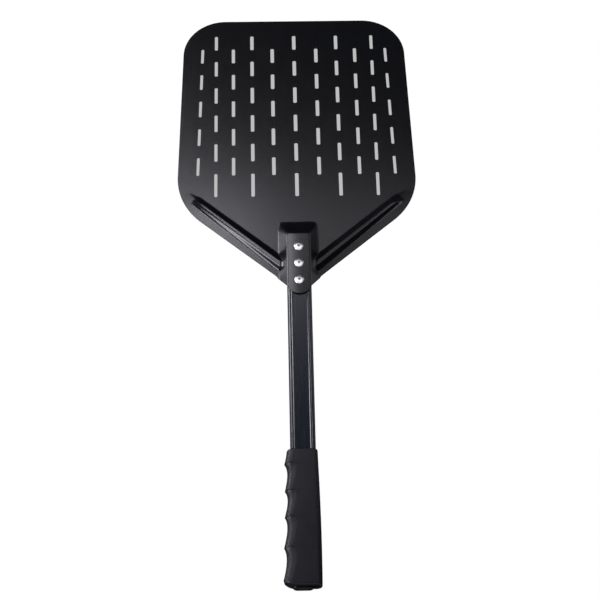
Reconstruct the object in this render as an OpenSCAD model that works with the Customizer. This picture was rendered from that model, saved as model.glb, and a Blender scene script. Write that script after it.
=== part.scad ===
// Perforated pizza peel: a pressed sheet blade riveted over the front of an extruded
// handle tube, with a finger grip pushed over the tube's end and a plug closing it.
// Units are millimetres. +Y points to the blade's tip and +Z up. The origin is on the
// blade's underside, at the centre of its straight sides.

/* [Blade] */
// Width between the blade's lower side corners
blade_w = 307; // [295:1:320]
// Width at the tip, before its corners are rounded
tip_w = 292; // [275:1:300]
// Length of the blade's straight sides, before rounding
side_l = 287; // [280:1:300]
// Radius of the two tip corners
tip_r = 56; // [30:1:60]
// Radius of the two lower side corners
side_r = 85; // [50:1:90]
// Angle between the V edges and the blade's width
v_angle = 40.15; // [38:0.05:41]
// Thickness of the sheet
sheet_t = 1.5; // [1:0.25:1.75]

/* [Slots] */
// Distance between two columns of slots, before they close up
col_pitch = 30.2; // [28:0.1:30.5]
// Amount by which each column closes up towards the sides
col_closing = 1.07; // [0.9:0.01:1.2]
// Length of the slots nearest the tip
slot_l = 23; // [18:0.5:24]
// Growth in length from one slot to the next, towards the handle
slot_growth = 1.1; // [0.5:0.1:1.2]
// Metal left between two slots of a column
bridge = 18.3; // [16:0.1:19]
// Width of the middle slots
slot_w = 4.65; // [3.5:0.05:6]
// Length of the last slot of a six-slot column
long_slot_l = 35; // [25:1:38]

/* [Saddle and ribs] */
// Height of the saddle's flat top above the blade's underside
saddle_h = 18.5; // [18.5:0.1:20]
// Height of the ribs beside the saddle
rib_h = 8; // [6:0.5:9]
// Height of the ribs at their outer ends
rib_tip_h = 3.5; // [3:0.5:5]

/* [Handle tube] */
// Width of the tube
tube_w = 30; // [29:0.5:30]
// Height of the tube
tube_h = 14; // [13:0.1:14]
// Wall of the tube
tube_wall = 1.5; // [1.2:0.1:2]

/* [Grip] */
// Length of the grip
grip_l = 164.5; // [162:0.5:166]
// Height of the grip
grip_h = 20; // [19:0.5:22]
// Depth of the finger grooves
groove_d = 3.2; // [2:0.1:4]

/* [Rivets] */
// Diameter of a rivet's head
rivet_head_d = 11.6; // [9.5:0.1:12]
// Diameter of a rivet's shank
rivet_d = 6; // [5:0.1:6.4]
// Distance between the rivets
rivet_pitch = 23.6; // [21:0.1:24]

/* [Hidden] */
$fn = 64;
eps = 0.01;
cut = 1;
arc_steps = 12;
hull_fn = 32;

// Blade outline
half_l = side_l / 2;
v_slope = tan(v_angle);
kink_x = 27.5;
kink_y = -half_l - (blade_w / 2 - kink_x) * v_slope;
tongue_half_w = 13;
tongue_end_y = -283;
tongue_bow = 7.5;

// Slots
columns = 5;
long_slots = 6;
slot_corner_r = 1.2;
slot_narrowing = 0.04;
six_top_y = 119.2;
five_top_y = 98;
side_lean = atan((blade_w - tip_w) / 2 / side_l);

// Saddle
saddle_foot_w = 50;
saddle_top_w = 22;
saddle_foot_y = -175;
saddle_top_y = -196.5;
saddle_corner_r = 10;
saddle_edge_r = 3;
saddle_back_y = -295;

// Ribs, measured inward from the V edge
rib_start = 22;
rib_run_in = 9;
rib_end = 160;
rib_tip_in = 12.5;
rib_tip_out = 26.5;
rib_root_in = 7.5;
rib_root_out = 26;
rib_tip_crest = 18.5;
rib_root_crest = 14.8;
rib_tip_crest_w = 4.5;
rib_root_crest_w = 5.8;

// Tube
tube_gap = 0.05;
tube_z = saddle_h - sheet_t - tube_gap - tube_h;
tube_front_y = -204;
tube_back_y = -648.5;
tube_r = 6;
tube_side_start = 80;
tube_side_steps = 6;
panel_w = 15.6;
panel_d = 0.5;
bead_w = 2.2;
bead_d = 0.35;
bead_slope = 0.3;
tube_mid_z = tube_z + tube_h / 2;

// Rivets
rivet_y = -216.5;
rivet_dome_h = 2.4;
rivet_clear = 0.1;
bulb_d = 8.4;
bulb_h = 3.2;
mandrel_d = 3.2;
mandrel_head_d = 5.4;
mandrel_head_h = 2.6;
mandrel_taper = 0.7;
mandrel_clear = 0.02;
mandrel_recess = 0.7;
rivet_grip_z = tube_z + tube_h - tube_wall;

// Grip
grip_front_y = -488;
grip_front_left = -18.7;
grip_right_front = 17;
grip_right_bulge = 2;
grip_right_sweep = 125;
grip_bow = 2;
grip_edge_r = 6;
grip_gap = 0.2;
ridge_y = [-505, -538.5, -570.5, -607.5, -646];
ridge_x = [-21.7, -21.5, -22.1, -23.5, -24.6];
groove_steps = 10;
groove_skew = 0.7;
last_ridge = len(ridge_x) - 1;

// End plug
plug_gap = 0.1;
plug_l = 18;
plug_flange_t = 4;
knob_x = -3;
knob_side_room = 3.2;
knob_w = tube_w - 2 * knob_side_room;
knob_h = 11;
knob_l = 4.2;
knob_bow = 1.8;

// Points on an arc about c, from angle a to angle b
function arc(c, r, a, b, n = arc_steps) =
    [for (i = [0:n]) c + r * [cos(a + (b - a) * i / n), sin(a + (b - a) * i / n)]];

// Radius of an arc that rises by bow over a half width
function arc_radius(half_w, bow) = (half_w * half_w + bow * bow) / 2 / bow;

// Points that round the corner at p between the directions of a and b
function rounded(a, p, b, r) =
    let (
        u = (a - p) / norm(a - p),
        v = (b - p) / norm(b - p),
        half = acos(u * v) / 2,
        m = (u + v) / norm(u + v),
        c = p + m * r / sin(half),
        t1 = p + u * r / tan(half) - c,
        t2 = p + v * r / tan(half) - c,
        start = atan2(t1[1], t1[0]),
        turn = atan2(t1[0] * t2[1] - t1[1] * t2[0], t1 * t2)
    )
    arc(c, r, start, start + turn);

function mirrored(points) = [for (i = [len(points) - 1:-1:0]) [-points[i][0], points[i][1]]];

// Right half of the blade's outline, from the tip to the tongue
function blade_side() =
    let (
        tip = [tip_w / 2, half_l],
        side = [blade_w / 2, -half_l],
        kink = [kink_x, kink_y],
        tongue_r = arc_radius(tongue_half_w, tongue_bow),
        sweep = asin(tongue_half_w / tongue_r)
    )
    concat(
        rounded([0, half_l], tip, side, tip_r),
        rounded(tip, side, kink, side_r),
        [kink],
        arc([0, tongue_end_y + tongue_r], tongue_r, -90 + sweep, -90)
    );

module blade_outline() {
    right = blade_side();
    polygon(concat(right, mirrored(right)));
}

module slot(l, w) {
    r = slot_corner_r;
    square([w - 2 * r, l], center = true);
    square([w, l - 2 * r], center = true);
    for (x = [-1, 1], y = [-1, 1])
        translate([x * (w / 2 - r), y * (l / 2 - r)]) circle(r);
}

// One column of slots, from its top edge down, each a little longer than the last
module slot_column(k, count, top_y) {
    x = k * (col_pitch - abs(k) * col_closing);
    w = slot_w - slot_narrowing * k * k;
    lean = abs(k) == columns ? -sign(k) * side_lean : 0;
    for (i = [0:count - 1]) {
        l = i == long_slots - 1 ? long_slot_l : slot_l + i * slot_growth;
        above = i * (slot_l + bridge) + slot_growth * i * (i - 1) / 2;
        y = top_y - above - l / 2;
        translate([x + y * tan(lean), y]) rotate(-lean) slot(l, w);
    }
}

module slots() {
    for (k = [-columns:columns])
        if (k % 2 == 0) slot_column(k, long_slots, six_top_y);
        else slot_column(k, long_slots - 1, five_top_y);
}

// Outside of the saddle, with its foot on the sheet's top face
module saddle_form() {
    foot_x = saddle_foot_w / 2 - saddle_corner_r;
    hull() {
        for (x = [-1, 1]) {
            translate([x * foot_x, saddle_foot_y - saddle_corner_r, sheet_t - cut])
                cylinder(r = saddle_corner_r, h = cut, $fn = hull_fn);
            for (y = [saddle_top_y - saddle_edge_r, saddle_back_y])
                translate([x * saddle_top_w / 2, y, saddle_h - saddle_edge_r])
                    sphere(saddle_edge_r, $fn = hull_fn);
        }
        translate([-saddle_foot_w / 2, saddle_back_y, sheet_t - cut])
            cube([saddle_foot_w, cut, cut]);
    }
}

// A slice of a rib across the V edge: foot from a to b, crest of width crest_w about c
module rib_slice(a, b, c, crest_w, h) {
    rotate([90, 0, 90]) linear_extrude(eps)
        polygon([
            [a, sheet_t - cut], [a, sheet_t], [c - crest_w / 2, h],
            [c + crest_w / 2, h], [b, sheet_t], [b, sheet_t - cut]
        ]);
}

// Outside of one rib, along the left V edge from its outer end into the saddle
module rib_form() {
    translate([-blade_w / 2, -half_l]) rotate(-v_angle) hull() {
        translate([rib_start - rib_run_in, rib_tip_crest - rib_tip_crest_w, sheet_t - cut])
            cube([eps, 2 * rib_tip_crest_w, cut]);
        translate([rib_start, 0, 0])
            rib_slice(rib_tip_in, rib_tip_out, rib_tip_crest, rib_tip_crest_w, rib_tip_h);
        translate([rib_end, 0, 0])
            rib_slice(rib_root_in, rib_root_out, rib_root_crest, rib_root_crest_w, rib_h);
    }
}

module pressed_forms() {
    saddle_form();
    rib_form();
    mirror([1, 0, 0]) rib_form();
}

module at_rivets() {
    for (i = [0:2]) translate([0, rivet_y - i * rivet_pitch, 0]) children();
}

module blade() {
    color("#2b2b2e") intersection() {
        difference() {
            union() {
                linear_extrude(sheet_t) difference() {
                    blade_outline();
                    slots();
                }
                pressed_forms();
            }
            translate([0, 0, -sheet_t]) pressed_forms();
            at_rivets() cylinder(d = rivet_d + 2 * rivet_clear, h = saddle_h + cut);
        }
        linear_extrude(saddle_h + cut) blade_outline();
    }
}

// Half of the tube's upper profile: panel, bead, groove and rounded side
function tube_quarter(w, h, r, detail) =
    let (
        p = panel_w / 2,
        g = p + bead_w
    )
    concat(
        detail ? [
            [0, h / 2 - panel_d], [p, h / 2 - panel_d], [p + bead_slope, h / 2],
            [g, h / 2], [g + bead_slope, h / 2 - bead_d]
        ] : [],
        arc([w / 2 - r, h / 2 - r - (detail ? bead_d : 0)], r, detail ? tube_side_start : 90, 0, tube_side_steps)
    );

function flipped(points) = [for (i = [len(points) - 1:-1:0]) [points[i][0], -points[i][1]]];

// The tube's section about its centre, grown by gap
module tube_section(gap = 0, detail = true) {
    quarter = tube_quarter(tube_w + 2 * gap, tube_h + 2 * gap, tube_r + gap, detail);
    right = concat(quarter, flipped(quarter));
    polygon(concat(right, mirrored(right)));
}

// Draws a section along Y, from y0 towards the handle's end
module along_handle(y0, l) {
    translate([0, y0, tube_mid_z]) rotate([90, 0, 0]) linear_extrude(l) children();
}

module handle_tube() {
    tube_l = tube_front_y - tube_back_y;
    color("#26262c") difference() {
        along_handle(tube_front_y, tube_l) tube_section();
        along_handle(tube_front_y + cut, tube_l + 2 * cut) tube_section(-tube_wall, false);
        at_rivets() translate([0, 0, tube_mid_z])
            cylinder(d = rivet_d + 2 * rivet_clear, h = tube_h);
    }
}

// Blind rivet: domed head, shank and the bulb that clinches the tube's wall
module rivet_body() {
    head_r = rivet_head_d / 2;
    dome_r = arc_radius(head_r, rivet_dome_h);
    bulb_z = rivet_grip_z - bulb_h;
    difference() {
        union() {
            intersection() {
                translate([0, 0, saddle_h + rivet_dome_h - dome_r]) sphere(dome_r);
                translate([0, 0, saddle_h]) cylinder(r = head_r, h = rivet_dome_h);
            }
            translate([0, 0, bulb_z]) cylinder(d = rivet_d, h = saddle_h - bulb_z + eps);
            translate([0, 0, bulb_z]) cylinder(d = bulb_d, h = bulb_h);
        }
        translate([0, 0, bulb_z - cut]) cylinder(d = mandrel_d, h = saddle_h);
    }
}

module rivet_bodies() {
    color("#d8d8da") at_rivets() rivet_body();
}

// Mandrel left inside a rivet after its tail has snapped off below the head's top
module rivet_mandrel() {
    bulb_z = rivet_grip_z - bulb_h;
    stem_l = saddle_h + rivet_dome_h - mandrel_recess - bulb_z;
    translate([0, 0, bulb_z - mandrel_head_h])
        cylinder(d1 = mandrel_head_d - 2 * mandrel_taper, d2 = mandrel_head_d, h = mandrel_head_h);
    translate([0, 0, bulb_z - eps]) cylinder(d = mandrel_d - 2 * mandrel_clear, h = stem_l);
}

module rivet_mandrels() {
    color("#9a9a9e") at_rivets() rivet_mandrel();
}

// One finger groove's edge, between ridge i and the next
function groove(i) =
    [for (n = [1:groove_steps])
        let (
            s = n / groove_steps,
            x = ridge_x[i] + (ridge_x[i + 1] - ridge_x[i]) * s,
            y = ridge_y[i] + (ridge_y[i + 1] - ridge_y[i]) * s
        )
        [x + groove_d * sin(180 * pow(s, groove_skew)), y]];

// The grip from above: smooth palm side, bowed end and four finger grooves
module grip_plan() {
    back_y = grip_front_y - grip_l + grip_bow;
    right = [for (n = [0:arc_steps])
        let (s = n / arc_steps)
        [
            grip_right_front + grip_right_bulge * sin(grip_right_sweep * s),
            grip_front_y - (grip_l - grip_bow) * s
        ]];
    left_x = ridge_x[last_ridge];
    right_x = right[arc_steps][0];
    end = [for (n = [1:arc_steps])
        let (s = n / (arc_steps + 1))
        [right_x + (left_x - right_x) * s, back_y - grip_bow * sin(180 * s)]];
    grooves = [for (i = [last_ridge - 1:-1:0]) for (n = [groove_steps - 1:-1:0]) groove(i)[n]];
    polygon(concat(right, end, grooves, [[ridge_x[0], ridge_y[0]], [grip_front_left, grip_front_y]]));
}

// The grip's rounded section, wide enough for its widest place
module grip_section() {
    r = grip_edge_r;
    left = min(ridge_x);
    right = grip_right_front + grip_right_bulge;
    polygon(concat(
        arc([right - r, grip_h / 2 - r], r, 90, 0),
        arc([right - r, r - grip_h / 2], r, 0, -90),
        arc([left + r, r - grip_h / 2], r, -90, -180),
        arc([left + r, grip_h / 2 - r], r, 180, 90)
    ));
}

module grip() {
    color("#1f2022") difference() {
        intersection() {
            linear_extrude(2 * grip_h) grip_plan();
            translate([0, 0, grip_h / 2 - tube_mid_z])
                along_handle(grip_front_y + cut, grip_l + 2 * cut) grip_section();
        }
        along_handle(grip_front_y + cut, grip_l + 2 * cut) tube_section(grip_gap, false);
    }
}

// Rounded oblong about its centre
module oblong(w, h) {
    square([w - h, h], center = true);
    for (x = [-1, 1]) translate([x * (w - h) / 2, 0]) circle(d = h);
}

// The plug's domed knob, a little to the left of the tube's axis
module knob() {
    knob_y = tube_back_y - plug_flange_t;
    dome_r = arc_radius(knob_w / 2, knob_bow);
    intersection() {
        along_handle(knob_y + eps, knob_l + eps) translate([knob_x, 0]) oblong(knob_w, knob_h);
        translate([knob_x, knob_y - knob_l + dome_r, tube_mid_z]) sphere(dome_r);
    }
}

module end_plug() {
    color("#18181a") union() {
        along_handle(tube_back_y + plug_l, plug_l + eps) tube_section(-tube_wall - plug_gap, false);
        along_handle(tube_back_y, plug_flange_t) tube_section(0, false);
        knob();
    }
}

blade();
handle_tube();
rivet_bodies();
rivet_mandrels();
grip();
end_plug();
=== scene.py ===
"""Looks for the pizza peel: a pressed blade riveted to a handle tube, with a finger grip and an end plug.

Lengths are millimetres until a mesh is made. The stage and the camera are in metres.
The frame is the CAD's: +Y to the blade's tip, +Z up, origin on the blade's underside.
"""

import math

import bmesh
import bpy
import numpy as np
from mathutils import Matrix, Vector
from mathutils.geometry import delaunay_2d_cdt
from mathutils.kdtree import KDTree


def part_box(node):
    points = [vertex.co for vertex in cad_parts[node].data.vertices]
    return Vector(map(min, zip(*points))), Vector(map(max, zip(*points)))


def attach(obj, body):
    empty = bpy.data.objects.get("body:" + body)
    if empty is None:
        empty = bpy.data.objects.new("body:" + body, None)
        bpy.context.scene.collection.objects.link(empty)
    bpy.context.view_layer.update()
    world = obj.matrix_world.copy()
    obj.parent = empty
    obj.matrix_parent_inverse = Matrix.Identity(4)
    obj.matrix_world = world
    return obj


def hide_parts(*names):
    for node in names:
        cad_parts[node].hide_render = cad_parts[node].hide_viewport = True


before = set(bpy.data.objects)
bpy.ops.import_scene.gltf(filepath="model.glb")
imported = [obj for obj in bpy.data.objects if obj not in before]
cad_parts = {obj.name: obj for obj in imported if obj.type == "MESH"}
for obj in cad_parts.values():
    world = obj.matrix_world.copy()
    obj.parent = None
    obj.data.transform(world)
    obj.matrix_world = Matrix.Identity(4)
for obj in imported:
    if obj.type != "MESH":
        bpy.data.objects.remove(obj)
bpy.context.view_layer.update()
BODY = "root"
MM = 0.001

# TINY stands in for zero where zero can't be used, and HAIR is the least gap between two round corners
TINY = 1e-6
HAIR = 0.01


def box_mm(node):
    """Lowest and highest corner of a CAD node, in millimetres."""
    low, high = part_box(node)
    return np.array(low) / MM, np.array(high) / MM


BLADE_LOW, BLADE_HIGH = box_mm("blade")
TUBE_LOW, TUBE_HIGH = box_mm("handle_tube")
RIVET_LOW, RIVET_HIGH = box_mm("rivet_bodies")
MANDREL_LOW, MANDREL_HIGH = box_mm("rivet_mandrels")
GRIP_LOW, GRIP_HIGH = box_mm("grip")
PLUG_LOW, _ = box_mm("end_plug")

# Blade sheet, whose straight sides reach as far back from the origin as forward
SHEET_T = 1.5
TIP_Y = BLADE_HIGH[1]
SIDE_Y = -TIP_Y
TONGUE_Y = BLADE_LOW[1]
TIP_HALF_W = 146.0
SIDE_HALF_W = 153.5
TIP_R = 56.0
SIDE_R = 85.0
CORNER_STEPS = 40
V_ANGLE = math.radians(40.15)
KINK_X = 27.5
KINK_R = 12.0
KINK_STEPS = 8
TONGUE_HALF_W = 13.0
TONGUE_BOW = 7.5
TONGUE_STEPS = 16
EDGE_R = 0.4

# Spacing of the blade's points, and how far the inner ones stay from the edges
EDGE_SPACING = 1.5
PRESSED_SPACING = 1.2
PRESSED_GAP = 0.9
FLAT_SPACING = 8.0
FLAT_GAP = 3.0

# Slots: COLUMNS on each side of the middle one. Even columns hold a slot more than odd ones.
# Columns close up and slots narrow towards the sides, and slots grow towards the handle.
COLUMNS = 5
EVEN_ROWS = 6
ODD_ROWS = 5
EVEN_TOP_Y = 119.2
ODD_TOP_Y = 98.0
COL_PITCH = 30.2
COL_CLOSING = 1.07
SLOT_L = 23.0
SLOT_GROWTH = 1.1
LONG_SLOT_L = 35.0
BRIDGE = 18.3
SLOT_W = 4.65
SLOT_NARROWING = 0.04
SLOT_CORNER_R = 1.2
SLOT_CORNER_STEPS = 5
SLOT_SPACING = 6.0

# Saddle, with heights above the sheet's top face
SADDLE_RISE = BLADE_HIGH[2] - SHEET_T
SADDLE_FOOT_X = 24.9
SADDLE_WALL_SLOPE = 1.56
SADDLE_FOOT_Y = -175.0
SADDLE_TOP_Y = -196.5
SADDLE_TOP_X = 11.0
SADDLE_CROWN = 0.4
SADDLE_RIM_BLEND = 1.8
CORNER_FOOT_BLEND = 13.0
CORNER_TOP_BLEND = 4.0
FRONT_FOOT_BLEND = 3.2
SIDE_FOOT_BLEND = 1.4
FOOT_BLEND_RUN = 6.0

# Ribs, measured along the V edge (s) and inward from it (w). Pairs run from the outer end to the root.
RIB_START = 15.0
RIB_RUN_IN_SLOPE = 0.42
RIB_RUN_IN_BLEND = 2.5
RIB_TIP_S = 30.0
RIB_ROOT_S = 155.0
RIB_RISE = (3.0, 6.8)
RIB_FAR_FOOT = (24.9, 25.1)
RIB_FAR_CREST = (20.5, 17.2)
RIB_NEAR_CREST = (15.9, 11.4)
RIB_NEAR_FOOT = (12.4, 7.6)
RIB_CREST_BLEND = 1.6
RIB_FOOT_BLEND = 1.8
SKIRT_SLOPE = 0.05

# The bend between ribs and saddle, full where both stand FULL_BLEND_RISE high, and the band of close
# points that FORM_MARGIN adds round the forms
FORM_BLEND = 7.0
FULL_BLEND_RISE = 2.0
FORM_MARGIN = 4.0

# Handle tube, about its centre
TUBE_HALF_W = (TUBE_HIGH[0] - TUBE_LOW[0]) / 2
TUBE_HALF_H = (TUBE_HIGH[2] - TUBE_LOW[2]) / 2
TUBE_MID_Z = (TUBE_HIGH[2] + TUBE_LOW[2]) / 2
TUBE_WALL = 1.5
TUBE_SIDE_R = 5.2
TUBE_SIDE_START = math.radians(66)
TUBE_SIDE_STEPS = 10
TUBE_CHAMFER = 0.3
PANEL_DEPTH = 0.5
BEAD_X = 9.6
BEAD_HALF_W = 0.85
BEAD_TOP_HALF_W = 0.15
BEAD_CLEAR = 0.1
GROOVE_HALF_W = 11.6

# Rivets, with heights above the saddle's top. The bulb's corners are (inset, height above its low end).
RIVET_HEAD_R = RIVET_HIGH[0]
RIVET_PITCH = (RIVET_HIGH[1] - RIVET_LOW[1] - 2 * RIVET_HEAD_R) / 2
RIVET_NAMES = ("front", "middle", "rear")
RIVET_COLLECTION = "rivets"
DOME_H = RIVET_HIGH[2] - BLADE_HIGH[2]
DOME_POWER = 3.5
DOME_START_R = 2.1
DOME_POINTS = 20
RIM_H = 0.35
RIM_EASE = 0.1
SHANK_R = 3.0
BULB_TOP = TUBE_HIGH[2] - TUBE_WALL - BLADE_HIGH[2]
BULB_H = 3.2
BULB_R = 4.2
BULB_CORNERS = ((0.6, 3.18), (0.0, 2.4), (0.0, 1.0), (0.9, 0.0))
BORE_R = 1.62
BORE_EASE = 0.1
BORE_MOUTH_R = 1.85
BORE_MOUTH_DEPTH = 0.35
BORE_NECK_DEPTH = 0.75

# Mandrels: corners of the nose as (inset, height), and of the broken end as (share of radius, depth)
MANDREL_R = 1.55
MANDREL_LOW_H = MANDREL_LOW[2] - BLADE_HIGH[2]
MANDREL_TOP_H = MANDREL_HIGH[2] - BLADE_HIGH[2]
MANDREL_NOSE = ((1.2, 0.0), (0.5, 0.4))
MANDREL_HEAD_R = MANDREL_HIGH[0]
MANDREL_HEAD_H = 2.6
MANDREL_EASE = 0.2
MANDREL_BREAK = ((1.0, 0.3), (0.8, 0.1), (0.45, 0.0))
MANDREL_DIMPLE = 0.15
AXIS_R = 0.05
TURNED_STEPS = 72

# Grip: the ridges between its finger grooves, as distance behind its front and reach to the left
GRIP_RIDGES = ((17.0, 22.3), (50.5, 22.1), (82.5, 22.7), (119.5, 24.1), (158.0, 25.2))
GRIP_LENGTH = GRIP_HIGH[1] - GRIP_LOW[1]
GRIP_FRONT_LEFT = 19.3
GRIP_FRONT_POWER = 1.5
GRIP_FRONT_SCOOP = 0.5
GRIP_END_TAPER = 0.15
GRIP_GROOVE = 3.2
GRIP_GROOVE_SKEW = 0.7
GRIP_SCOOP = 6.0
GRIP_SCOOP_SKEW = 0.45
GRIP_RIGHT = 17.0
GRIP_RIGHT_BULGE = 2.0
GRIP_RIGHT_SWEEP = math.radians(125)
GRIP_FLAT_LEFT = -13.5
GRIP_FLAT_RIGHT = 11.5
GRIP_CORNER_H = 8.0
GRIP_FULLNESS = 2.2
GRIP_FRONT_R = 1.6
GRIP_END_R = 1.5
GRIP_END_CUT = 3.5
GRIP_END_CUT_X = -9.0
GRIP_END_CUT_RUN = 16.0
GRIP_STEPS = 12
GRIP_SPACING = 0.8
SLEEVE_CLEAR = 0.2
SLEEVE_CORNER = (6.0, 6.0)
SLEEVE_FRONT_EASE = 0.4
SLEEVE_END_EASE = 0.5

# End plug, with corners as (width, height)
PLUG_BODY_L = 18.0
PLUG_BODY_CORNER = (4.4, 4.4)
PLUG_CLEAR = 0.1
PLUG_TAPER = 1.0
FLANGE_T = 4.0
FLANGE_R = 0.8
FLANGE_CORNER = (5.5, 5.5)
KNOB_X = -3.0
KNOB_HALF_W = 11.8
KNOB_HALF_H = 5.5
KNOB_R = 2.4
KNOB_BOW = 0.8
KNOB_FLARE = 0.5
KNOB_FLARE_L = 0.6
PLUG_STEPS = 10

# A coating that is reflective for its darkness, as anodised aluminium is
ANODISED_IOR = 1.6

# Sockets of a colour mix node
MIX_FACTOR = 0
MIX_FIRST = 6
MIX_SECOND = 7
MIX_RESULT = 2

# Stage, in metres: softboxes hang on a ceiling, near walls and far walls
LIGHT_COLOUR = (1.0, 0.975, 1.06)
DARK_ROOM = (0.006, 0.010, 0.014)
CEILING = 1.0
FILL_CEILING = 0.6
WALL = 1.2
FAR_WALL = 3.0
DOWN = (0, 0, -1)
RIGHTWARD = (1, 0, 0)
LEFTWARD = (-1, 0, 0)
TO_TIP = (0, 1, 0)
TO_GRIP = (0, -1, 0)
FLOOR_HALF_W = 12.0
FLOOR_Z = -0.0003
FLOOR_BRIGHTNESS = 1.0
# Painted shadow: a dimmer patch of floor in the blade's outline, shrunk a little, seen through the slots
BLADE_SHADOW_Z = -0.0001
BLADE_SHADOW_SHARE = 0.95
BLADE_SHADOW_BRIGHTNESS = 0.5

# Camera, in metres and degrees
CAMERA_AIM = (0.0006, -0.2826, 0.0)
CAMERA_DISTANCE = 2.047
CAMERA_HEADING = 2.067
CAMERA_ELEVATION = 62.0
CAMERA_ROLL = 1.042
CAMERA_LENS_MM = 99.7
CAMERA_SENSOR_MM = 36.0
CAMERA_CLIP = (0.05, 50.0)


# ---------------------------------------------------------------- shape helpers

def soft_min(a, b, k):
    """The smaller of a and b, with the corner between them rounded over a height k."""
    h = np.maximum(k - np.abs(a - b), 0) / k
    return np.minimum(a, b) - h * h * k / 4


def soft_max(a, b, k):
    """The larger of a and b, with the corner between them rounded over a height k."""
    return -soft_min(-a, -b, k)


def arc(centre, radius, start, end, steps):
    """Points about centre from angle start to angle end, in radians."""
    angles = np.linspace(start, end, steps + 1)
    return [(centre[0] + radius * math.cos(a), centre[1] + radius * math.sin(a)) for a in angles]


def rounded(before, corner, after, radius, steps):
    """Points that round a corner between its neighbours."""
    corner = np.array(corner, float)
    u = np.array(before, float) - corner
    v = np.array(after, float) - corner
    u /= np.linalg.norm(u)
    v /= np.linalg.norm(v)
    half = math.acos(float(u @ v)) / 2
    centre = corner + (u + v) / np.linalg.norm(u + v) * radius / math.sin(half)
    t1 = corner + u * radius / math.tan(half) - centre
    t2 = corner + v * radius / math.tan(half) - centre
    start = math.atan2(t1[1], t1[0])
    turn = math.atan2(t1[0] * t2[1] - t1[1] * t2[0], float(t1 @ t2))
    return arc(centre, radius, start, start + turn, steps)


def resampled(loop, spacing):
    """A closed loop with its long stretches divided to the given spacing."""
    points = []
    for i, a in enumerate(loop):
        b = loop[(i + 1) % len(loop)]
        count = max(1, math.ceil(math.dist(a, b) / spacing))
        for n in range(count):
            t = n / count
            points.append((a[0] + (b[0] - a[0]) * t, a[1] + (b[1] - a[1]) * t))
    return np.array(points)


def loop_normals(loop):
    """Unit normals that point out of a loop of points, whichever way it runs."""
    tangent = np.roll(loop, -1, 0) - np.roll(loop, 1, 0)
    tangent /= np.linalg.norm(tangent, axis=1)[:, None]
    normal = np.stack([tangent[:, 1], -tangent[:, 0]], 1)
    nxt = np.roll(loop, -1, 0)
    area = np.sum(loop[:, 0] * nxt[:, 1] - nxt[:, 0] * loop[:, 1])
    return normal if area > 0 else -normal


def out_is_right(loop, out):
    """True if the outward direction lies to the right of the way the loop runs."""
    tangent = loop[1] - loop[0]
    return tangent[0] * out[0, 1] - tangent[1] * out[0, 0] < 0


def inside_polygon(points, loop):
    """Which points lie inside a closed loop, by counting crossings."""
    x, y = points[:, 0], points[:, 1]
    inside = np.zeros(len(points), bool)
    for a, b in zip(loop, np.roll(loop, -1, 0)):
        if a[1] == b[1]:
            continue
        crosses = (a[1] > y) != (b[1] > y)
        at = (b[0] - a[0]) * (y - a[1]) / (b[1] - a[1]) + a[0]
        inside ^= crosses & (x < at)
    return inside


def new_piece(name, vertices_mm, faces, material, replaces, normals=None):
    """A mesh object that rides on the peel's body and stands for a CAD node."""
    mesh = bpy.data.meshes.new(name)
    mesh.from_pydata([tuple(v) for v in np.asarray(vertices_mm) * MM], [], faces)
    mesh.validate()
    mesh.polygons.foreach_set("use_smooth", [True] * len(mesh.polygons))
    if normals is not None:
        mesh.normals_split_custom_set_from_vertices([tuple(n) for n in normals])
    mesh.update()
    piece = bpy.data.objects.new(name, mesh)
    bpy.context.scene.collection.objects.link(piece)
    mesh.materials.append(material)
    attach(piece, BODY)
    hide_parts(replaces)
    return piece


def ring_faces(rings, count, closed=False):
    """Quads between successive rings of count points each."""
    faces = []
    last = rings if closed else rings - 1
    for r in range(last):
        a = r * count
        b = ((r + 1) % rings) * count
        for i in range(count):
            j = (i + 1) % count
            faces.append((a + i, a + j, b + j, b + i))
    return faces


def capped_faces(rings, count):
    """Quads between successive rings of count points each, with a face over each end."""
    last = (rings - 1) * count
    caps = [tuple(range(count)), tuple(last + i for i in reversed(range(count)))]
    return ring_faces(rings, count) + caps


def face_outwards(piece):
    """Turns every face of a closed piece outwards."""
    mesh = bmesh.new()
    mesh.from_mesh(piece.data)
    bmesh.ops.recalc_face_normals(mesh, faces=mesh.faces)
    mesh.to_mesh(piece.data)
    mesh.free()
    piece.data.polygons.foreach_set("use_smooth", [True] * len(piece.data.polygons))


def sharpen(piece, degrees):
    """Keeps the edges sharp where faces meet at more than this angle."""
    piece.data.set_sharp_from_angle(angle=math.radians(degrees))


# ---------------------------------------------------------------- blade

def blade_outline():
    """The blade's outline from above, as a closed loop."""
    tip = (TIP_HALF_W, TIP_Y)
    side = (SIDE_HALF_W, SIDE_Y)
    kink = (KINK_X, SIDE_Y - (SIDE_HALF_W - KINK_X) * math.tan(V_ANGLE))
    tongue = (TONGUE_HALF_W, TONGUE_Y + TONGUE_BOW)
    bow_r = (TONGUE_HALF_W ** 2 + TONGUE_BOW ** 2) / 2 / TONGUE_BOW
    sweep = math.asin(TONGUE_HALF_W / bow_r)
    down = -math.pi / 2
    right = rounded((0, TIP_Y), tip, side, TIP_R, CORNER_STEPS)
    right += rounded(tip, side, kink, SIDE_R, CORNER_STEPS)
    right += rounded(side, kink, tongue, KINK_R, KINK_STEPS)
    right += arc((0, TONGUE_Y + bow_r), bow_r, down + sweep, down, TONGUE_STEPS)
    left = [(-x, y) for x, y in reversed(right[:-1])]
    return resampled(right + left, EDGE_SPACING)


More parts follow.
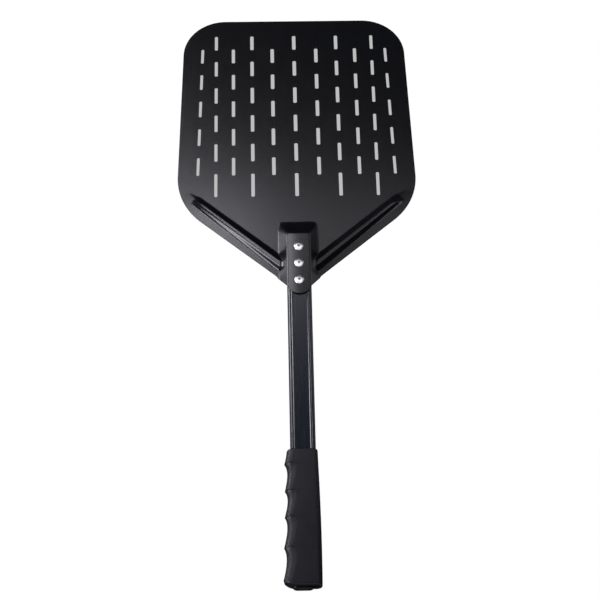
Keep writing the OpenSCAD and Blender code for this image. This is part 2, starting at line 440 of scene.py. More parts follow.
def slot_loop(x, y, length, width, lean):
    """One slot's outline: a long rectangle with small round corners."""
    half = np.array([width, length]) / 2 - SLOT_CORNER_R
    points = []
    for quarter in range(4):
        start = quarter * math.pi / 2
        sign = (1 if quarter in (0, 3) else -1, 1 if quarter < 2 else -1)
        points += arc(half * sign, SLOT_CORNER_R, start, start + math.pi / 2, SLOT_CORNER_STEPS)
    turn = np.array([[math.cos(lean), -math.sin(lean)], [math.sin(lean), math.cos(lean)]])
    return resampled(points, SLOT_SPACING) @ turn.T + (x, y)


def slot_loops():
    """Every slot: long and short columns in turn, with slots that grow longer towards the handle."""
    side_lean = math.atan((SIDE_HALF_W - TIP_HALF_W) / (TIP_Y - SIDE_Y))
    loops = []
    for k in range(-COLUMNS, COLUMNS + 1):
        x = k * (COL_PITCH - abs(k) * COL_CLOSING)
        width = SLOT_W - SLOT_NARROWING * k * k
        lean = side_lean * np.sign(k) if abs(k) == COLUMNS else 0.0
        rows, top = (EVEN_ROWS, EVEN_TOP_Y) if k % 2 == 0 else (ODD_ROWS, ODD_TOP_Y)
        for row in range(rows):
            length = LONG_SLOT_L if row == EVEN_ROWS - 1 else SLOT_L + row * SLOT_GROWTH
            y = top - length / 2
            loops.append(slot_loop(x - y * math.tan(lean), y, length, width, lean))
            top -= length + BRIDGE
    return loops


def between(pair, s):
    """A rib's measure at s, from its outer end to its root."""
    t = (s - RIB_TIP_S) / (RIB_ROOT_S - RIB_TIP_S)
    return pair[0] + (pair[1] - pair[0]) * t


def from_v_edge(x, y):
    """Distance along the V edge from the blade's side, and inward from the edge."""
    dx = SIDE_HALF_W - np.abs(x)
    dy = SIDE_Y - y
    s = dx * math.cos(V_ANGLE) + dy * math.sin(V_ANGLE)
    w = dx * math.sin(V_ANGLE) - dy * math.cos(V_ANGLE)
    return s, w


def skirt_rise(x, y):
    """The slight lift of the sheet from its V edge in to the rib, which dies away under the rib."""
    s, w = from_v_edge(x, y)
    foot = between(RIB_FAR_FOOT, s)
    fade = np.clip((foot - w) / (foot - between(RIB_FAR_CREST, s)), 0, 1)
    run_in = np.clip(s / RIB_TIP_S, 0, 1)
    return SKIRT_SLOPE * np.maximum(w, 0) * fade * run_in


def rib_rise(x, y):
    """Height of the rib's form above the sheet, before it is blended in."""
    s, w = from_v_edge(x, y)
    rise = between(RIB_RISE, s)
    far = rise * (between(RIB_FAR_FOOT, s) - w)
    far /= between(RIB_FAR_FOOT, s) - between(RIB_FAR_CREST, s)
    near = rise * (w - between(RIB_NEAR_FOOT, s))
    near /= between(RIB_NEAR_CREST, s) - between(RIB_NEAR_FOOT, s)
    form = soft_min(soft_min(far, rise, RIB_CREST_BLEND), near, RIB_CREST_BLEND)
    return soft_min(form, (s - RIB_START) * RIB_RUN_IN_SLOPE, RIB_RUN_IN_BLEND)


def saddle_walls(x, y):
    """Height of the planes of the saddle's side walls and of its front slope."""
    wall = (SADDLE_FOOT_X - np.abs(x)) * SADDLE_WALL_SLOPE
    slope = (SADDLE_FOOT_Y - y) * SADDLE_RISE / (SADDLE_FOOT_Y - SADDLE_TOP_Y)
    return wall, slope


def saddle_rise(x, y):
    """Height of the saddle's form above the sheet, before it is blended in."""
    wall, slope = saddle_walls(x, y)
    top = SADDLE_RISE + SADDLE_CROWN * (0.5 - (x / SADDLE_TOP_X) ** 2)
    share = np.clip(np.minimum(wall, slope) / SADDLE_RISE, 0, 1)
    corner = CORNER_FOOT_BLEND + (CORNER_TOP_BLEND - CORNER_FOOT_BLEND) * share
    return soft_min(soft_min(wall, slope, corner), top, SADDLE_RIM_BLEND)


def saddle_foot_blend(x, y):
    """The saddle's foot is bent softly at its front and more sharply along its sides."""
    wall, slope = saddle_walls(x, y)
    at_front = np.clip((wall - slope) / FOOT_BLEND_RUN + 0.5, 0, 1)
    return SIDE_FOOT_BLEND + (FRONT_FOOT_BLEND - SIDE_FOOT_BLEND) * at_front


def top_height(x, y):
    """Height of the blade's top face."""
    ribs = soft_max(rib_rise(x, y), 0, RIB_FOOT_BLEND)
    saddle = soft_max(saddle_rise(x, y), 0, saddle_foot_blend(x, y))
    blend = FORM_BLEND * np.clip(np.minimum(ribs, saddle) / FULL_BLEND_RISE, TINY, 1)
    return SHEET_T + soft_max(ribs + skirt_rise(x, y), saddle, blend)


def top_normal(x, y, step=0.05):
    """Unit normals of the blade's top face."""
    gx = (top_height(x + step, y) - top_height(x - step, y)) / (2 * step)
    gy = (top_height(x, y + step) - top_height(x, y - step)) / (2 * step)
    normal = np.stack([-gx, -gy, np.ones_like(gx)], 1)
    return normal / np.linalg.norm(normal, axis=1)[:, None]


def rim_rings():
    """The sheet's rounded edge as (inset, depth below the top face, tilt of the normal)."""
    rings = []
    for tilt in np.radians([0, 30, 60, 90]):
        rings.append((EDGE_R * (1 - math.sin(tilt)), EDGE_R * (1 - math.cos(tilt)), tilt))
    for tilt in np.radians([90, 120, 150, 180]):
        rings.append((EDGE_R * (1 - math.sin(tilt)), SHEET_T - EDGE_R * (1 + math.cos(tilt)), tilt))
    return rings


def near_forms(x, y):
    """Which points lie on the ribs or the saddle, or close beside them."""
    rib = (rib_rise(x, y) > -FORM_MARGIN) & (y < SIDE_Y + RIB_FAR_FOOT[0])
    return rib | (saddle_rise(x, y) > -FORM_MARGIN)


def fill_points(edge_points):
    """Points over the sheet: close together where it is pressed, and wide apart where it is flat."""
    tree = KDTree(len(edge_points))
    for i, (x, y) in enumerate(edge_points):
        tree.insert((x, y, 0), i)
    tree.balance()
    points = []
    grids = ((PRESSED_SPACING, PRESSED_GAP, True), (FLAT_SPACING, FLAT_GAP, False))
    for spacing, gap, pressed in grids:
        xs = np.arange(-SIDE_HALF_W, SIDE_HALF_W, spacing)
        ys = np.arange(TONGUE_Y, TIP_Y, spacing * math.sqrt(3) / 2)
        x, y = np.meshgrid(xs, ys)
        x[1::2] += spacing / 2
        x, y = x.ravel(), y.ravel()
        is_pressed = near_forms(x, y)
        keep = is_pressed if pressed else ~is_pressed
        for px, py in zip(x[keep], y[keep]):
            if tree.find((px, py, 0))[2] > gap:
                points.append((px, py))
    return np.array(points)


def sheet_triangles(plan, triangles, outline, holes):
    """The triangles that lie on the sheet and not in a slot, all turned to face up."""
    middles = plan[triangles].mean(axis=1)
    keep = inside_polygon(middles, outline)
    for hole in holes:
        near = np.all(np.abs(middles - hole.mean(0)) < np.ptp(hole, axis=0), axis=1)
        keep[near] &= ~inside_polygon(middles[near], hole)
    triangles = triangles[keep]
    a, b, c = (plan[triangles[:, corner]] for corner in range(3))
    clockwise = np.cross(b - a, c - a) < 0
    triangles[clockwise] = triangles[clockwise][:, ::-1]
    return triangles


def sheet_plan(edges, holes):
    """The sheet's flat plan: its points, its triangles, and the number that each edge point got."""
    inner = fill_points(np.concatenate(edges))
    inner = inner[inside_polygon(inner, edges[0])]
    for hole in holes:
        inner = inner[~inside_polygon(inner, hole)]
    sides, start = [], 0
    for edge in edges:
        count = len(edge)
        sides += [(start + i, start + (i + 1) % count) for i in range(count)]
        start += count
    points = [Vector(p) for p in np.concatenate(edges + [inner])]
    placed, _, triangles, origins, _, _ = delaunay_2d_cdt(points, sides, [], 1, TINY)
    plan = np.array([tuple(p) for p in placed])
    number = {source: i for i, sources in enumerate(origins) for source in sources}
    return plan, sheet_triangles(plan, np.array(triangles), edges[0], holes), number


def rim_ring(loop, out, inset, depth, tilt):
    """One ring of the sheet's rounded edge: its points and their normals."""
    at = loop - out * inset
    up = top_normal(at[:, 0], at[:, 1])
    side = np.column_stack([out, np.zeros(len(loop))])
    side -= up * np.sum(side * up, axis=1)[:, None]
    side /= np.linalg.norm(side, axis=1)[:, None]
    points = np.column_stack([at, top_height(at[:, 0], at[:, 1])]) - up * depth
    return points, up * math.cos(tilt) + side * math.sin(tilt)


def rim_faces(rings, rightward):
    """Quads between rings of vertex numbers round a loop, whose outside is on its right if rightward."""
    faces = []
    for upper, lower in zip(rings, rings[1:]):
        for i in range(len(upper)):
            j = (i + 1) % len(upper)
            quad = (upper[i], lower[i], lower[j], upper[j])
            faces.append(quad if rightward else quad[::-1])
    return faces


def blade_piece():
    """The pressed sheet: a flat plan laid over the pressed form on both faces, joined by rounded rims."""
    outline = blade_outline()
    holes = slot_loops()
    loops = [(outline, loop_normals(outline))]
    loops += [(hole, -loop_normals(hole)) for hole in holes]
    plan, triangles, number = sheet_plan([loop - out * EDGE_R for loop, out in loops], holes)

    count = len(plan)
    up = top_normal(plan[:, 0], plan[:, 1])
    top = np.column_stack([plan, top_height(plan[:, 0], plan[:, 1])])
    vertices = [top, top - up * SHEET_T]
    normals = [up, -up]
    wear = [np.zeros(2 * count)]
    faces = [tuple(t) for t in triangles]
    faces += [tuple(t[::-1] + count) for t in triangles]

    total, source = 2 * count, 0
    for loop, out in loops:
        size = len(loop)
        rings = [[number[source + i] for i in range(size)]]
        for inset, depth, tilt in rim_rings()[1:-1]:
            points, facing = rim_ring(loop, out, inset, depth, tilt)
            vertices.append(points)
            normals.append(facing)
            wear.append(np.full(size, math.sin(tilt)))
            rings.append(range(total, total + size))
            total += size
        rings.append([i + count for i in rings[0]])
        faces += rim_faces(rings, out_is_right(loop, out))
        source += size

    piece = new_piece(
        "pressed_blade", np.concatenate(vertices), faces, anodised_sheet(),
        "blade", np.concatenate(normals),
    )
    attribute = piece.data.attributes.new("edge", "FLOAT", "POINT")
    attribute.data.foreach_set("value", np.concatenate(wear).astype(np.float32))


# ---------------------------------------------------------------- tube, grip and plug

def rounded_section(left, right, low, high, left_corner, right_corner, steps, power=2.0):
    """A closed section (x, z) with corners given as (width, height). A power above 2 makes them fuller."""
    quarters = (
        (right - right_corner[0], high - right_corner[1], right_corner, 0),
        (left + left_corner[0], high - left_corner[1], left_corner, 1),
        (left + left_corner[0], low + left_corner[1], left_corner, 2),
        (right - right_corner[0], low + right_corner[1], right_corner, 3),
    )
    points = []
    for cx, cz, (width, height), quarter in quarters:
        for n in range(steps + 1):
            a = (quarter + n / steps) * math.pi / 2
            c, s = math.cos(a), math.sin(a)
            x = math.copysign(abs(c) ** (2 / power), c) * width
            z = math.copysign(abs(s) ** (2 / power), s) * height
            points.append((cx + x, cz + z))
    return np.array(points)


def edge_round(radius, degrees):
    """Places round an edge as (inset, distance from the end): 0 degrees is on the side, 90 on the end."""
    return [(radius * (1 - math.cos(a)), radius * (1 - math.sin(a))) for a in np.radians(degrees)]


def ring_at(section, y, mid_z=0.0):
    """A section of (x, z) points placed across the handle at y."""
    return np.column_stack([section[:, 0], np.full(len(section), y), section[:, 1] + mid_z])


def tube_outer():
    """The extrusion's outside: a sunk panel between two beads on each wide face, and round sides."""
    bead_top = TUBE_HALF_H - BEAD_CLEAR
    panel_z = bead_top - PANEL_DEPTH
    quarter = [(BEAD_X - BEAD_HALF_W, panel_z), (BEAD_X - BEAD_TOP_HALF_W, bead_top)]
    quarter += [(BEAD_X + BEAD_TOP_HALF_W, bead_top), (BEAD_X + BEAD_HALF_W, panel_z)]
    quarter += [(GROOVE_HALF_W, panel_z)]
    side_centre = (TUBE_HALF_W - TUBE_SIDE_R, TUBE_HALF_H - TUBE_SIDE_R)
    quarter += arc(side_centre, TUBE_SIDE_R, TUBE_SIDE_START, 0, TUBE_SIDE_STEPS)
    right = quarter + [(x, -z) for x, z in reversed(quarter)]
    left = [(-x, -z) for x, z in right]
    return np.array(right + left)


def tube_piece():
    """The extruded tube: one skin that runs along the outside and back along the inside."""
    outer = tube_outer()
    half = np.array([TUBE_HALF_W, TUBE_HALF_H])
    trimmed = outer * (1 - TUBE_CHAMFER / half)
    inner = outer * (1 - TUBE_WALL / half)
    front, back = TUBE_HIGH[1], TUBE_LOW[1]
    rings = [
        ring_at(trimmed, front, TUBE_MID_Z),
        ring_at(outer, front - TUBE_CHAMFER, TUBE_MID_Z),
        ring_at(outer, back, TUBE_MID_Z),
        ring_at(inner, back, TUBE_MID_Z),
        ring_at(inner, front, TUBE_MID_Z),
    ]
    faces = ring_faces(len(rings), len(outer), closed=True)
    piece = new_piece(
        "extruded_tube", np.concatenate(rings), faces, anodised_extrusion(), "handle_tube"
    )
    face_outwards(piece)
    sharpen(piece, degrees=30)


def grip_left(depth):
    """The grip's reach to the left at a depth behind its front, and how scooped it is there, 0 to 1."""
    first_depth, first_reach = GRIP_RIDGES[0]
    last_depth, last_reach = GRIP_RIDGES[-1]
    if depth <= first_depth:
        t = depth / first_depth
        reach = GRIP_FRONT_LEFT + (first_reach - GRIP_FRONT_LEFT) * t ** GRIP_FRONT_POWER
        return reach, GRIP_FRONT_SCOOP * (1 - t)
    for (d0, r0), (d1, r1) in zip(GRIP_RIDGES, GRIP_RIDGES[1:]):
        if depth <= d1:
            t = (depth - d0) / (d1 - d0)
            reach = r0 + (r1 - r0) * t - GRIP_GROOVE * math.sin(math.pi * t ** GRIP_GROOVE_SKEW)
            return reach, math.sin(math.pi * t ** GRIP_SCOOP_SKEW)
    return last_reach - GRIP_END_TAPER * (depth - last_depth), 0.0


def grip_right(depth):
    """The grip's reach to the right, which swells under the palm."""
    return GRIP_RIGHT + GRIP_RIGHT_BULGE * math.sin(GRIP_RIGHT_SWEEP * depth / GRIP_LENGTH)


def grip_ring(depth, inset):
    """The grip's outside at a depth behind its front, drawn in by inset."""
    reach, scoop = grip_left(depth)
    left = -reach + inset
    right = grip_right(depth) - inset
    low, high = GRIP_LOW[2] + inset, GRIP_HIGH[2] - inset
    half = (high - low) / 2
    left_corner = (GRIP_FLAT_LEFT + GRIP_SCOOP * scoop - left, half - HAIR)
    right_corner = (right - GRIP_FLAT_RIGHT, GRIP_CORNER_H)
    section = rounded_section(left, right, low, high, left_corner, right_corner, GRIP_STEPS, GRIP_FULLNESS)
    ring = ring_at(section, GRIP_HIGH[1] - depth)
    # The left corner of the back end is cut back
    fade = min(1.0, max(0.0, (depth - GRIP_LENGTH + GRIP_END_CUT_RUN) / GRIP_END_CUT_RUN))
    share = np.clip((GRIP_END_CUT_X - section[:, 0]) / (GRIP_END_CUT_X - left), 0, 1)
    ring[:, 1] += GRIP_END_CUT * fade ** 2 * share ** 2
    return ring


def grip_piece():
    """The grip: one skin that runs along the outside and back through the bore."""
    rings = []
    for inset, depth in edge_round(GRIP_FRONT_R, (90, 60, 30, 0)):
        rings.append(grip_ring(depth, inset))
    for depth in np.arange(GRIP_FRONT_R + GRIP_SPACING, GRIP_LENGTH - GRIP_END_R, GRIP_SPACING):
        rings.append(grip_ring(depth, 0))
    for inset, from_end in edge_round(GRIP_END_R, (0, 23, 45, 68, 90)):
        rings.append(grip_ring(GRIP_LENGTH - from_end, inset))
    w, h = TUBE_HALF_W + SLEEVE_CLEAR, TUBE_HALF_H + SLEEVE_CLEAR
    bore = rounded_section(-w, w, -h, h, SLEEVE_CORNER, SLEEVE_CORNER, GRIP_STEPS)
    rings.append(ring_at(bore, GRIP_LOW[1] + SLEEVE_END_EASE, TUBE_MID_Z))
    rings.append(ring_at(bore, GRIP_HIGH[1] - SLEEVE_FRONT_EASE, TUBE_MID_Z))
    faces = ring_faces(len(rings), len(bore), closed=True)
    piece = new_piece("finger_grip", np.concatenate(rings), faces, moulded_rubber(), "grip")
    face_outwards(piece)
    sharpen(piece, degrees=50)


def plug_section(half_w, half_h, corner, middle_x=0.0):
    """One rounded section of the plug."""
    left, right = middle_x - half_w, middle_x + half_w
    return rounded_section(left, right, -half_h, half_h, corner, corner, PLUG_STEPS)


def plug_body(inset):
    """The part that is pressed into the tube."""
    gap = TUBE_WALL + PLUG_CLEAR + inset
    return plug_section(TUBE_HALF_W - gap, TUBE_HALF_H - gap, PLUG_BODY_CORNER)


def plug_flange(inset):
    """The part that covers the tube's end."""
    return plug_section(TUBE_HALF_W - inset, TUBE_HALF_H - inset, FLANGE_CORNER)


def plug_knob(inset):
    """The oblong knob, whose ends are half round."""
    half_h = KNOB_HALF_H - inset
    corner = max(half_h - HAIR, HAIR)
    return plug_section(KNOB_HALF_W - inset, half_h, (corner, corner), KNOB_X)


def plug_piece():
    """The end plug: a body pressed into the tube, a flange over the tube's end and a domed knob."""
    tube_end = TUBE_LOW[1]
    body_end = tube_end + PLUG_BODY_L
    flange_end = tube_end - FLANGE_T
    knob_end = PLUG_LOW[1]
    stations = [(plug_body(PLUG_TAPER), body_end), (plug_body(0), body_end - PLUG_TAPER)]
    stations += [(plug_body(0), tube_end), (plug_flange(0), tube_end)]
    for inset, from_end in edge_round(FLANGE_R, (0, 30, 60, 90)):
        stations.append((plug_flange(inset), flange_end + from_end))
    stations.append((plug_knob(-KNOB_FLARE), flange_end))
    stations.append((plug_knob(0), flange_end - KNOB_FLARE_L))
    for inset, from_end in edge_round(KNOB_R, range(0, 91, 15)):
        stations.append((plug_knob(inset), knob_end + KNOB_BOW + from_end))
    # The knob's bowed end, in shrinking copies of its rim
    centre = np.array([KNOB_X, 0])
    for share in (0.75, 0.5, 0.25, 0.05):
        section = centre + (plug_knob(KNOB_R) - centre) * share
        stations.append((section, knob_end + KNOB_BOW * share ** 2))
    rings = [ring_at(section, y, TUBE_MID_Z) for section, y in stations]
    faces = capped_faces(len(rings), len(rings[0]))
    piece = new_piece(
        "tube_end_plug", np.concatenate(rings), faces, moulded_plastic(), "end_plug"
    )
    face_outwards(piece)
    sharpen(piece, degrees=45)


# ---------------------------------------------------------------- rivets

def turned_piece(name, profile, centre, material, replaces, hollow):
    """A turned piece about a vertical axis. profile lists (radius, height above centre)."""
    vertices = []
    for radius, height in profile:
        for n in range(TURNED_STEPS):
            a = 2 * math.pi * n / TURNED_STEPS
            offset = (radius * math.cos(a), radius * math.sin(a), height)
            vertices.append(np.add(centre, offset))
    if hollow:
        faces = ring_faces(len(profile), TURNED_STEPS, closed=True)
    else:
        faces = capped_faces(len(profile), TURNED_STEPS)
    piece = new_piece(name, vertices, faces, material, replaces)
    face_outwards(piece)
    sharpen(piece, degrees=40)
    return piece


def rivet_profile():
    """A blind rivet: its bore, a domed head with a soft rim, a shank and a clinched bulb."""
    bulb_low = BULB_TOP - BULB_H
    points = [(BORE_R, bulb_low + BORE_EASE), (BORE_R, DOME_H - BORE_NECK_DEPTH)]
    points += [(BORE_MOUTH_R, DOME_H - BORE_MOUTH_DEPTH)]
    for r in np.linspace(DOME_START_R, RIVET_HEAD_R, DOME_POINTS):
        points.append((r, RIM_H + (DOME_H - RIM_H) * (1 - (r / RIVET_HEAD_R) ** DOME_POWER)))
    points += [(RIVET_HEAD_R, RIM_EASE / 2), (RIVET_HEAD_R - RIM_EASE, 0)]
    points += [(SHANK_R, 0), (SHANK_R, BULB_TOP)]
    for inset, height in BULB_CORNERS:
        points.append((BULB_R - inset, bulb_low + height))
    return points


def mandrel_profile():
    """A mandrel: its rounded nose, its head, its stem and the broken end."""
    head_top = MANDREL_LOW_H + MANDREL_HEAD_H
    points = [(AXIS_R, MANDREL_LOW_H)]
    points += [(MANDREL_HEAD_R - inset, MANDREL_LOW_H + height) for inset, height in MANDREL_NOSE]
    points += [(MANDREL_HEAD_R, head_top - MANDREL_EASE), (MANDREL_HEAD_R - MANDREL_EASE, head_top)]
    points += [(MANDREL_R, head_top)]
    points += [(MANDREL_R * share, MANDREL_TOP_H - depth) for share, depth in MANDREL_BREAK]
    points += [(AXIS_R, MANDREL_TOP_H - MANDREL_DIMPLE)]
    return points


def rivet_pieces():
    """Three rivets and their mandrels, in a collection of their own that the fill light is linked to."""
    body_metal, mandrel_metal = bright_aluminium(), shaded_plated_steel()
    group = bpy.data.collections.new(RIVET_COLLECTION)
    front = RIVET_HIGH[1] - RIVET_HEAD_R
    kinds = (
        ("rivet_", rivet_profile(), body_metal, "rivet_metal", "rivet_bodies", True),
        ("mandrel_", mandrel_profile(), mandrel_metal, "mandrel_steel", "rivet_mandrels", False),
    )
    for i, place in enumerate(RIVET_NAMES):
        centre = (0.0, front - i * RIVET_PITCH, BLADE_HIGH[2])
        for prefix, profile, metal, slot, node, hollow in kinds:
            piece = turned_piece(prefix + place, profile, centre, metal, node, hollow)
            group.objects.link(piece)


# ---------------------------------------------------------------- materials

class Nodes:
    """A Principled material with short calls for the nodes that drive it."""

    def __init__(self, name):
        """A new material, whose coordinates are the object's own, in metres."""
        self.material = bpy.data.materials.new(name)
        self.material.use_nodes = True
        self.tree = self.material.node_tree
        self.shader = self.tree.nodes["Principled BSDF"]
        self.place = self.add("ShaderNodeTexCoord").outputs["Object"]

    def add(self, kind, **inputs):
        """A new node with its inputs set by name."""
        node = self.tree.nodes.new(kind)
        for name, value in inputs.items():
            self.set(node, name.replace("_", " "), value)
        return node

    def set(self, node, socket, value):
        """Links an input to a socket, or gives it a value."""
        if isinstance(value, bpy.types.NodeSocket):
            self.tree.links.new(value, node.inputs[socket])
        else:
            node.inputs[socket].default_value = value

    def stretched(self, x, y, z):
        """The object's coordinates, in metres, stretched along each axis."""
        return self.add("ShaderNodeMapping", Vector=self.place, Scale=(x, y, z)).outputs["Vector"]

    def noise(self, size_mm, detail=2.0, place=None, roughness=0.5):
        """Noise whose features are about size_mm across, from 0 to 1."""
        vector = self.place if place is None else place
        node = self.add("ShaderNodeTexNoise", Vector=vector, Scale=1 / (size_mm * MM), Detail=detail)
        node.inputs["Roughness"].default_value = roughness
        return node.outputs["Fac"]

    def remap(self, value, low, high, from_low=0.3, from_high=0.7):
        """Maps a value's range, clamped at both ends."""
        node = self.add("ShaderNodeMapRange", Value=value)
        ends = {"From Min": from_low, "From Max": from_high, "To Min": low, "To Max": high}
        for name, number in ends.items():
            node.inputs[name].default_value = number
        return node.outputs["Result"]

    def colour(self, factor, first, second):
        """A blend of two colours, or of a colour socket and a colour."""
        node = self.add("ShaderNodeMix")
        node.data_type = "RGBA"
        self.set(node, MIX_FACTOR, factor)
        for socket, value in ((MIX_FIRST, first), (MIX_SECOND, second)):
            self.set(node, socket, value if isinstance(value, bpy.types.NodeSocket) else (*value, 1.0))
        return node.outputs[MIX_RESULT]

    def maths(self, operation, a, b):
        """The result of one operation on two values."""
        node = self.add("ShaderNodeMath")
        node.operation = operation
        self.set(node, 0, a)
        self.set(node, 1, b)
        return node.outputs[0]

    def bump(self, height, depth_mm, below=None):
        """A bump whose full height is depth_mm, over another bump if one is given."""
        node = self.add("ShaderNodeBump", Height=height, Distance=depth_mm * MM, Strength=1.0)
        if below is not None:
            self.set(node, "Normal", below)
        return node.outputs["Normal"]

    def finish(self, **sockets):
        """Sets the shader's inputs by name, and gives the finished material."""
        for name, value in sockets.items():
            self.set(self.shader, name.replace("_", " "), value)
        return self.material


def anodised_sheet():
    """Matte black anodised sheet: bead-blasted grain, faint handling marks and lighter worn edges."""
    m = Nodes("anodised_sheet")
    grain = m.noise(0.45, detail=3.0)
    mottle = m.noise(38.0, detail=3.0)
    rub = m.noise(16.0, detail=3.0, place=m.stretched(1.0, 0.3, 1.0))
    edge = m.add("ShaderNodeAttribute")
    edge.attribute_name = "edge"
    patches = m.remap(m.noise(2.5, detail=4.0), 0.0, 0.5, from_low=0.45, from_high=0.75)
    worn = m.maths("MULTIPLY", edge.outputs["Fac"], patches)
    base = m.colour(m.remap(mottle, 0, 1), (0.0040, 0.0042, 0.0052), (0.0055, 0.0057, 0.0068))
    base = m.colour(m.remap(grain, 0, 0.35), base, (0.012, 0.012, 0.014))
    base = m.colour(worn, base, (0.08, 0.08, 0.083))
    speckle = m.noise(1.1, detail=2.0)
    rough = m.maths("ADD", m.remap(rub, 0.23, 0.25), m.remap(speckle, -0.02, 0.02))
    return m.finish(Base_Color=base, Roughness=rough, IOR=ANODISED_IOR, Normal=m.bump(grain, 0.012))


def anodised_extrusion():
    """Satin black anodised extrusion with die lines along its length."""
    m = Nodes("anodised_extrusion")
    lines = m.noise(0.7, detail=3.0, place=m.stretched(1.0, 0.012, 1.0))
    mottle = m.noise(30.0, detail=3.0, place=m.stretched(1.0, 0.3, 1.0))
    grain = m.noise(0.4, detail=2.0)
    base = m.colour(m.remap(mottle, 0, 1), (0.006, 0.0105, 0.020), (0.010, 0.0145, 0.026))
    base = m.colour(m.remap(lines, 0, 0.3), base, (0.017, 0.021, 0.030))
    rough = m.remap(lines, 0.22, 0.28)
    relief = m.bump(grain, 0.003, below=m.bump(lines, 0.0015))
    return m.finish(Base_Color=base, Roughness=rough, IOR=ANODISED_IOR, Normal=relief)


def bright_aluminium():
    """Bright aluminium rivet heads with fine scuffs from setting."""
    m = Nodes("bright_aluminium")
    scuffs = m.noise(0.5, detail=4.0, place=m.stretched(1.0, 0.35, 1.0))
    patches = m.noise(2.2, detail=3.0)
    base = m.colour(m.remap(patches, 0, 1), (0.86, 0.86, 0.85), (0.72, 0.72, 0.71))
    rough = m.remap(scuffs, 0.32, 0.42)
    return m.finish(Base_Color=base, Metallic=1.0, Roughness=rough, Normal=m.bump(scuffs, 0.01))


def shaded_plated_steel():
    """Zinc-plated steel, torn across where the mandrel's tail snapped off, and painted dark as painted
    shade for the broken end sunk in the rivet's bore.
    """
    m = Nodes("shaded_plated_steel")
    torn = m.noise(0.35, detail=5.0, roughness=0.7)
    # Painted shade: both colours are far darker than zinc plate, so that the mandrel's end in the bore
    # looks shaded
    base = m.colour(m.remap(torn, 0, 1), (0.10, 0.10, 0.10), (0.30, 0.30, 0.29))
    rough = m.remap(torn, 0.35, 0.6)
    return m.finish(Base_Color=base, Metallic=1.0, Roughness=rough, Normal=m.bump(torn, 0.08))


def moulded_rubber():
    """Matte black moulded rubber: fine spark-eroded texture with a faint bloom."""
    m = Nodes("moulded_rubber")
    texture = m.noise(0.55, detail=3.0)
    bloom = m.noise(14.0, detail=4.0)
    base = m.colour(m.remap(bloom, 0, 1), (0.0100, 0.0112, 0.0170), (0.0150, 0.0165, 0.0235))
    base = m.colour(m.remap(texture, 0, 0.3), base, (0.024, 0.025, 0.030))
    rough = m.maths("ADD", m.remap(bloom, 0.42, 0.48), m.remap(texture, -0.04, 0.04))
    return m.finish(Base_Color=base, Roughness=rough, Normal=m.bump(texture, 0.02))


def moulded_plastic():
    """Satin black moulded plastic with slight flow marks."""
    m = Nodes("moulded_plastic")
    flow = m.noise(5.0, detail=3.0, place=m.stretched(1.0, 0.5, 1.0))
    fine = m.noise(0.4, detail=2.0)
    base = m.colour(m.remap(flow, 0, 1), (0.005, 0.005, 0.006), (0.008, 0.008, 0.009))
    rough = m.remap(flow, 0.30, 0.40)
    return m.finish(Base_Color=base, Roughness=rough, Specular_IOR_Level=0.25, Normal=m.bump(fine, 0.008))


# ---------------------------------------------------------------- stage

def floor_patch(name, outline, height, brightness):
    """A plain patch of floor, glowing evenly, that only the camera sees, so that the object reflects the
    studio alone. It makes both the white floor and the painted shadow under the blade.
    """
    mesh = bpy.data.meshes.new(name)
    mesh.from_pydata([(x, y, 0) for x, y in outline], [], [tuple(range(len(outline)))])
    piece = bpy.data.objects.new(name, mesh)
    bpy.context.scene.collection.objects.link(piece)
    piece.location.z = height
    m = Nodes(name)
    mesh.materials.append(m.finish(
        Base_Color=(0.04, 0.04, 0.04, 1), Roughness=1.0, Specular_IOR_Level=0.0,
        Emission_Color=(1, 1, 1, 1), Emission_Strength=brightness,
    ))
    piece.visible_glossy = False
    piece.visible_diffuse = False
    piece.visible_shadow = False


def softbox(name, low, high, face, radiance, only=None):
    """A flat light between two corners that faces along a direction. It may light one collection only."""
    low, high = Vector(low), Vector(high)
    light = bpy.data.lights.new(name, "AREA")
    light.shape = "RECTANGLE"
    turn = Vector(face).to_track_quat("-Z", "Y")
    across = turn.inverted() @ (high - low)
    light.size, light.size_y = abs(across.x), abs(across.y)
    light.energy = radiance * light.size * light.size_y * math.pi
    light.color = LIGHT_COLOUR
    lamp = bpy.data.objects.new(name, light)
    bpy.context.scene.collection.objects.link(lamp)
    lamp.location = (low + high) / 2
    lamp.rotation_mode = "QUATERNION"
    lamp.rotation_quaternion = turn
    lamp.visible_camera = False
    if only is not None:
        lamp.light_linking.receiver_collection = bpy.data.collections[only]


def surroundings():
    """A pale backdrop for the camera, and dark surroundings for everything that the object reflects."""
    world = bpy.data.worlds.new("surroundings")
    bpy.context.scene.world = world
    world.use_nodes = True
    nodes, links = world.node_tree.nodes, world.node_tree.links
    path = nodes.new("ShaderNodeLightPath")
    mix = nodes.new("ShaderNodeMix")
    mix.data_type = "RGBA"
    links.new(path.outputs["Is Camera Ray"], mix.inputs[MIX_FACTOR])
    mix.inputs[MIX_FIRST].default_value = (*DARK_ROOM, 1)
    mix.inputs[MIX_SECOND].default_value = (1, 1, 1, 1)
    links.new(mix.outputs[MIX_RESULT], nodes["Background"].inputs["Color"])


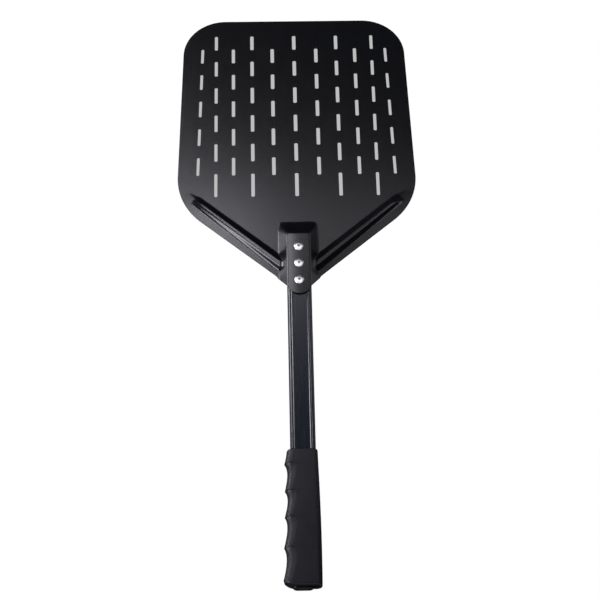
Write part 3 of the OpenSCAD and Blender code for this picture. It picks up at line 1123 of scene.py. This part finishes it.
def camera():
    """The camera: heading turns it from +Y towards +X, elevation tips it down, and roll turns the view."""
    heading = math.radians(CAMERA_HEADING)
    elevation = math.radians(CAMERA_ELEVATION)
    level = Vector((math.sin(heading), math.cos(heading), 0))
    forward = level * math.cos(elevation) - Vector((0, 0, math.sin(elevation)))
    right = Vector((math.cos(heading), -math.sin(heading), 0))
    up = right.cross(forward)
    roll = Matrix.Rotation(-math.radians(CAMERA_ROLL), 3, forward)
    data = bpy.data.cameras.new("camera")
    data.sensor_width = CAMERA_SENSOR_MM
    data.lens = CAMERA_LENS_MM
    data.clip_start, data.clip_end = CAMERA_CLIP
    view = bpy.data.objects.new("camera", data)
    bpy.context.scene.collection.objects.link(view)
    turn = Matrix((roll @ right, roll @ up, -forward)).transposed().to_4x4()
    view.matrix_world = Matrix.Translation(Vector(CAMERA_AIM) - forward * CAMERA_DISTANCE) @ turn
    bpy.context.scene.camera = view


def floor():
    """A white floor, and a patch of painted shadow just above it, under the blade, that shows through the
    slots.
    """
    half = FLOOR_HALF_W
    square = [(-half, -half), (half, -half), (half, half), (-half, half)]
    floor_patch("floor", square, FLOOR_Z, FLOOR_BRIGHTNESS)
    # Painted shadow of the blade: a patch in its outline that glows dimmer than the floor
    shaded = blade_outline() * MM * BLADE_SHADOW_SHARE
    floor_patch("painted_blade_shadow", shaded, BLADE_SHADOW_Z, BLADE_SHADOW_BRIGHTNESS)


def ceiling_lights():
    """Softboxes overhead: they shine on the blade's face, the saddle, the tube and the grip."""
    softbox("key_near", (-0.32, 0.20, CEILING), (-0.08, 0.46, CEILING), DOWN, 5.0)
    softbox("key_far", (-0.50, 0.46, CEILING), (-0.30, 0.70, CEILING), DOWN, 3.4)
    softbox("overhead_right", (-0.08, 0.26, CEILING), (0.30, 0.46, CEILING), DOWN, 1.1)
    softbox("high_left", (-0.50, 0.0, CEILING), (-0.30, 0.15, CEILING), DOWN, 17.0)
    softbox("high_right", (0.4, -0.15, CEILING), (0.9, 0.30, CEILING), DOWN, 1.6)


def wall_lights():
    """Softboxes at the sides: they shine on the walls of the ribs and saddle, and on beads and edges."""
    softbox("left_front", (-WALL, -1.05, 0.05), (-WALL, -0.6, 0.85), RIGHTWARD, 8.0)
    softbox("left_back", (-WALL, 0.2, 0.2), (-WALL, 0.7, 0.65), RIGHTWARD, 10.0)
    softbox("left_middle", (-WALL, 0.0, 0.36), (-WALL, 0.2, 0.52), RIGHTWARD, 9.0)
    softbox("left_side", (-WALL, 0.0, -0.25), (-WALL, 0.6, 0.2), RIGHTWARD, 0.33)
    softbox("left_low", (-WALL, 0.0, -0.6), (-WALL, 0.6, -0.25), RIGHTWARD, 1.1)
    softbox("right_back", (WALL, 0.15, 0.1), (WALL, 0.8, 0.7), LEFTWARD, 0.6)
    softbox("right_low", (WALL, 0.0, -0.6), (WALL, 0.8, 0.1), LEFTWARD, 0.5)
    softbox("front_low", (-0.2, -WALL, -0.6), (1.0, -WALL, 0.2), TO_TIP, 0.35)


def far_lights():
    """Large, dim softboxes far off, which the blade mirrors when it is seen from behind."""
    softbox("far_front", (-4.0, -FAR_WALL, 0.2), (4.0, -FAR_WALL, 3.2), TO_TIP, 0.35)
    softbox("far_back_left", (-4.6, FAR_WALL, 0.3), (-1.9, FAR_WALL, 2.4), TO_GRIP, 0.3)
    softbox("far_back_right", (1.9, FAR_WALL, 0.3), (4.6, FAR_WALL, 2.4), TO_GRIP, 0.2)


def rivet_light():
    """A soft fill over the rivets alone, so that their heads shine and the black parts stay black."""
    low, high = (-0.5, -1.0, FILL_CEILING), (0.9, 0.0, FILL_CEILING)
    softbox("rivet_fill", low, high, DOWN, 1.2, only=RIVET_COLLECTION)


def studio():
    """The floor, the backdrop, the camera and the lights."""
    floor()
    surroundings()
    camera()
    ceiling_lights()
    wall_lights()
    far_lights()
    rivet_light()
    bpy.context.scene.view_settings.view_transform = "Standard"


blade_piece()
tube_piece()
rivet_pieces()
grip_piece()
plug_piece()
studio()
